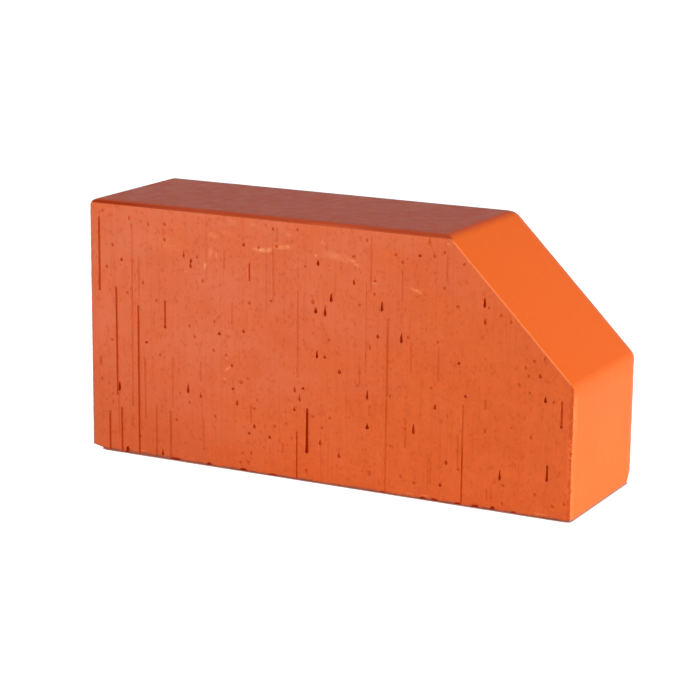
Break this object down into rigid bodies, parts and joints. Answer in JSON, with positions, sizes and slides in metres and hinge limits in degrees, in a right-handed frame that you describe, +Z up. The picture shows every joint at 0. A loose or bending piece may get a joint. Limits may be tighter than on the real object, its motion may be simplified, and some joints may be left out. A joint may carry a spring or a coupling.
{
  "type": "clay brick",
  "caption": "Solid fired-clay facing brick with a corner cut off at 45 degrees, smooth die-rounded narrow faces and flat wire-cut large faces.",
  "frame": {"origin": "in the middle of the long narrow face that the brick stands on", "axes": "+X along the brick towards the end with the cut corner, +Y through the brick from the near wire-cut face to the far one, +Z up"},
  "size_m": [0.24, 0.071, 0.118],
  "materials": {
    "fired_clay": "matte"
  },
  "bodies": {
    "root": {"brick": "fired_clay"}
  },
  "joints": []
}
